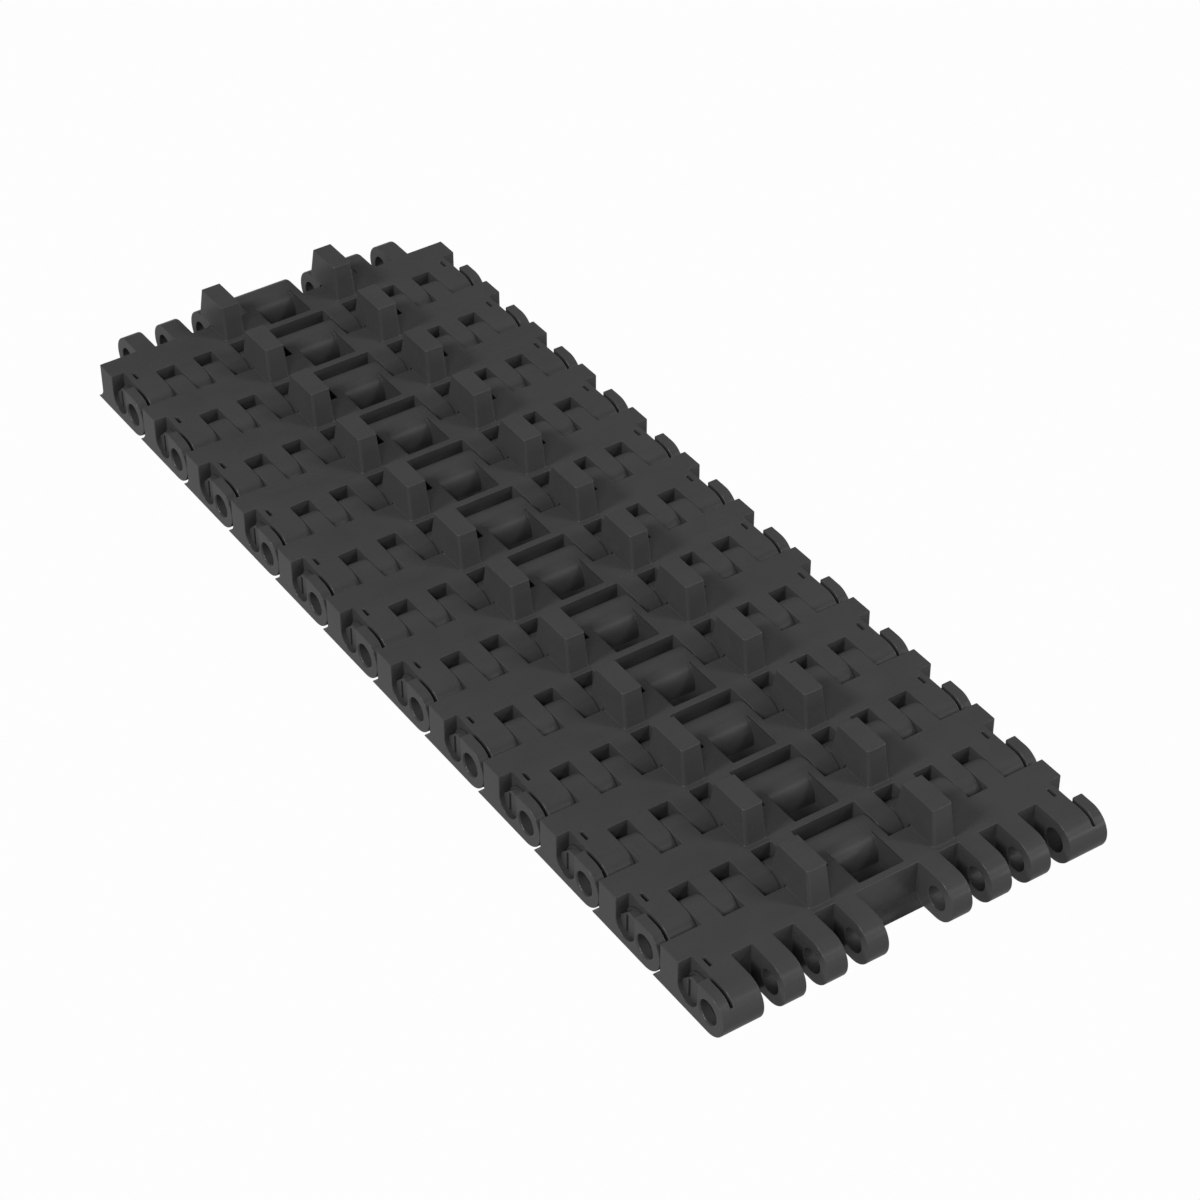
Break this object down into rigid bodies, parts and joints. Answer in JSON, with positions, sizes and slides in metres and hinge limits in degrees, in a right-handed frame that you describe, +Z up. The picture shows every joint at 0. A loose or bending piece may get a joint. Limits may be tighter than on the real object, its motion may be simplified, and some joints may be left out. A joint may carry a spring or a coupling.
{
  "type": "modular conveyor belt section",
  "caption": "Section of plastic modular conveyor belt: interlocking hinged modules with guide lugs and sprocket pockets, joined by hinge pins held by turning locks.",
  "frame": {"origin": "middle of the belt section in length and width, on the flat carrying face that it lies on", "axes": "+X across the belt, +Y along it towards belt_module_01, +Z up from the carrying face to the tops of the lugs"},
  "size_m": [0.1142, 0.3172, 0.0228],
  "materials": {
    "module": "moulded charcoal acetal, fine satin",
    "pin": "extruded dark grey plastic, smooth",
    "lock": "moulded charcoal acetal, fine satin"
  },
  "bodies": {
    "module_01": {"belt_module_01": "module", "hinge_pin_01": "pin"},
    "module_02": {"belt_module_02": "module", "hinge_pin_02": "pin"},
    "module_03": {"belt_module_03": "module", "hinge_pin_03": "pin"},
    "module_04": {"belt_module_04": "module", "hinge_pin_04": "pin"},
    "module_05": {"belt_module_05": "module", "hinge_pin_05": "pin"},
    "module_06": {"belt_module_06": "module", "hinge_pin_06": "pin"},
    "module_07": {"belt_module_07": "module", "hinge_pin_07": "pin"},
    "module_08": {"belt_module_08": "module", "hinge_pin_08": "pin"},
    "module_09": {"belt_module_09": "module", "hinge_pin_09": "pin"},
    "module_10": {"belt_module_10": "module", "hinge_pin_10": "pin"},
    "module_11": {"belt_module_11": "module", "hinge_pin_11": "pin"},
    "module_12": {"belt_module_12": "module"},
    "lock_left_01": {"pin_lock_left_01": "lock"},
    "lock_left_02": {"pin_lock_left_02": "lock"},
    "lock_left_03": {"pin_lock_left_03": "lock"},
    "lock_left_04": {"pin_lock_left_04": "lock"},
    "lock_left_05": {"pin_lock_left_05": "lock"},
    "lock_left_06": {"pin_lock_left_06": "lock"},
    "lock_left_07": {"pin_lock_left_07": "lock"},
    "lock_left_08": {"pin_lock_left_08": "lock"},
    "lock_left_09": {"pin_lock_left_09": "lock"},
    "lock_left_10": {"pin_lock_left_10": "lock"},
    "lock_left_11": {"pin_lock_left_11": "lock"},
    "lock_left_12": {"pin_lock_left_12": "lock"},
    "lock_right_01": {"pin_lock_right_01": "lock"},
    "lock_right_02": {"pin_lock_right_02": "lock"},
    "lock_right_03": {"pin_lock_right_03": "lock"},
    "lock_right_04": {"pin_lock_right_04": "lock"},
    "lock_right_05": {"pin_lock_right_05": "lock"},
    "lock_right_06": {"pin_lock_right_06": "lock"},
    "lock_right_07": {"pin_lock_right_07": "lock"},
    "lock_right_08": {"pin_lock_right_08": "lock"},
    "lock_right_09": {"pin_lock_right_09": "lock"},
    "lock_right_10": {"pin_lock_right_10": "lock"},
    "lock_right_11": {"pin_lock_right_11": "lock"},
    "lock_right_12": {"pin_lock_right_12": "lock"}
  },
  "joints": [
    {"name": "hinge_01", "type": "hinge", "parent": "module_02", "child": "module_01", "pos_m": [0, 0.127, 0.00625], "axis": [1, 0, 0], "range_deg": [-20, 28]},
    {"name": "hinge_02", "type": "hinge", "parent": "module_03", "child": "module_02", "pos_m": [0, 0.1016, 0.00625], "axis": [1, 0, 0], "range_deg": [-20, 28]},
    {"name": "hinge_03", "type": "hinge", "parent": "module_04", "child": "module_03", "pos_m": [0, 0.0762, 0.00625], "axis": [1, 0, 0], "range_deg": [-20, 28]},
    {"name": "hinge_04", "type": "hinge", "parent": "module_05", "child": "module_04", "pos_m": [0, 0.0508, 0.00625], "axis": [1, 0, 0], "range_deg": [-20, 28]},
    {"name": "hinge_05", "type": "hinge", "parent": "module_06", "child": "module_05", "pos_m": [0, 0.0254, 0.00625], "axis": [1, 0, 0], "range_deg": [-20, 28]},
    {"name": "hinge_06", "type": "hinge", "parent": "module_06", "child": "module_07", "pos_m": [0, 0, 0.00625], "axis": [-1, 0, 0], "range_deg": [-20, 28]},
    {"name": "hinge_07", "type": "hinge", "parent": "module_07", "child": "module_08", "pos_m": [0, -0.0254, 0.00625], "axis": [-1, 0, 0], "range_deg": [-20, 28]},
    {"name": "hinge_08", "type": "hinge", "parent": "module_08", "child": "module_09", "pos_m": [0, -0.0508, 0.00625], "axis": [-1, 0, 0], "range_deg": [-20, 28]},
    {"name": "hinge_09", "type": "hinge", "parent": "module_09", "child": "module_10", "pos_m": [0, -0.0762, 0.00625], "axis": [-1, 0, 0], "range_deg": [-20, 28]},
    {"name": "hinge_10", "type": "hinge", "parent": "module_10", "child": "module_11", "pos_m": [0, -0.1016, 0.00625], "axis": [-1, 0, 0], "range_deg": [-20, 28]},
    {"name": "hinge_11", "type": "hinge", "parent": "module_11", "child": "module_12", "pos_m": [0, -0.127, 0.00625], "axis": [-1, 0, 0], "range_deg": [-20, 28]},
    {"name": "lock_left_01_turn", "type": "hinge", "parent": "module_01", "child": "lock_left_01", "pos_m": [-0.05368, 0.13505, 0.00625], "axis": [-1, 0, 0], "range_deg": [0, 90]},
    {"name": "lock_left_02_turn", "type": "hinge", "parent": "module_02", "child": "lock_left_02", "pos_m": [-0.05368, 0.10965, 0.00625], "axis": [-1, 0, 0], "range_deg": [0, 90]},
    {"name": "lock_left_03_turn", "type": "hinge", "parent": "module_03", "child": "lock_left_03", "pos_m": [-0.05368, 0.08425, 0.00625], "axis": [-1, 0, 0], "range_deg": [0, 90]},
    {"name": "lock_left_04_turn", "type": "hinge", "parent": "module_04", "child": "lock_left_04", "pos_m": [-0.05368, 0.05885, 0.00625], "axis": [-1, 0, 0], "range_deg": [0, 90]},
    {"name": "lock_left_05_turn", "type": "hinge", "parent": "module_05", "child": "lock_left_05", "pos_m": [-0.05368, 0.03345, 0.00625], "axis": [-1, 0, 0], "range_deg": [0, 90]},
    {"name": "lock_left_06_turn", "type": "hinge", "parent": "module_06", "child": "lock_left_06", "pos_m": [-0.05368, 0.00805, 0.00625], "axis": [-1, 0, 0], "range_deg": [0, 90]},
    {"name": "lock_left_07_turn", "type": "hinge", "parent": "module_07", "child": "lock_left_07", "pos_m": [-0.05368, -0.01735, 0.00625], "axis": [-1, 0, 0], "range_deg": [0, 90]},
    {"name": "lock_left_08_turn", "type": "hinge", "parent": "module_08", "child": "lock_left_08", "pos_m": [-0.05368, -0.04275, 0.00625], "axis": [-1, 0, 0], "range_deg": [0, 90]},
    {"name": "lock_left_09_turn", "type": "hinge", "parent": "module_09", "child": "lock_left_09", "pos_m": [-0.05368, -0.06815, 0.00625], "axis": [-1, 0, 0], "range_deg": [0, 90]},
    {"name": "lock_left_10_turn", "type": "hinge", "parent": "module_10", "child": "lock_left_10", "pos_m": [-0.05368, -0.09355, 0.00625], "axis": [-1, 0, 0], "range_deg": [0, 90]},
    {"name": "lock_left_11_turn", "type": "hinge", "parent": "module_11", "child": "lock_left_11", "pos_m": [-0.05368, -0.11895, 0.00625], "axis": [-1, 0, 0], "range_deg": [0, 90]},
    {"name": "lock_left_12_turn", "type": "hinge", "parent": "module_12", "child": "lock_left_12", "pos_m": [-0.05368, -0.14435, 0.00625], "axis": [-1, 0, 0], "range_deg": [0, 90]},
    {"name": "lock_right_01_turn", "type": "hinge", "parent": "module_01", "child": "lock_right_01", "pos_m": [0.05368, 0.13505, 0.00625], "axis": [-1, 0, 0], "range_deg": [0, 90]},
    {"name": "lock_right_02_turn", "type": "hinge", "parent": "module_02", "child": "lock_right_02", "pos_m": [0.05368, 0.10965, 0.00625], "axis": [-1, 0, 0], "range_deg": [0, 90]},
    {"name": "lock_right_03_turn", "type": "hinge", "parent": "module_03", "child": "lock_right_03", "pos_m": [0.05368, 0.08425, 0.00625], "axis": [-1, 0, 0], "range_deg": [0, 90]},
    {"name": "lock_right_04_turn", "type": "hinge", "parent": "module_04", "child": "lock_right_04", "pos_m": [0.05368, 0.05885, 0.00625], "axis": [-1, 0, 0], "range_deg": [0, 90]},
    {"name": "lock_right_05_turn", "type": "hinge", "parent": "module_05", "child": "lock_right_05", "pos_m": [0.05368, 0.03345, 0.00625], "axis": [-1, 0, 0], "range_deg": [0, 90]},
    {"name": "lock_right_06_turn", "type": "hinge", "parent": "module_06", "child": "lock_right_06", "pos_m": [0.05368, 0.00805, 0.00625], "axis": [-1, 0, 0], "range_deg": [0, 90]},
    {"name": "lock_right_07_turn", "type": "hinge", "parent": "module_07", "child": "lock_right_07", "pos_m": [0.05368, -0.01735, 0.00625], "axis": [-1, 0, 0], "range_deg": [0, 90]},
    {"name": "lock_right_08_turn", "type": "hinge", "parent": "module_08", "child": "lock_right_08", "pos_m": [0.05368, -0.04275, 0.00625], "axis": [-1, 0, 0], "range_deg": [0, 90]},
    {"name": "lock_right_09_turn", "type": "hinge", "parent": "module_09", "child": "lock_right_09", "pos_m": [0.05368, -0.06815, 0.00625], "axis": [-1, 0, 0], "range_deg": [0, 90]},
    {"name": "lock_right_10_turn", "type": "hinge", "parent": "module_10", "child": "lock_right_10", "pos_m": [0.05368, -0.09355, 0.00625], "axis": [-1, 0, 0], "range_deg": [0, 90]},
    {"name": "lock_right_11_turn", "type": "hinge", "parent": "module_11", "child": "lock_right_11", "pos_m": [0.05368, -0.11895, 0.00625], "axis": [-1, 0, 0], "range_deg": [0, 90]},
    {"name": "lock_right_12_turn", "type": "hinge", "parent": "module_12", "child": "lock_right_12", "pos_m": [0.05368, -0.14435, 0.00625], "axis": [-1, 0, 0], "range_deg": [0, 90]}
  ]
}
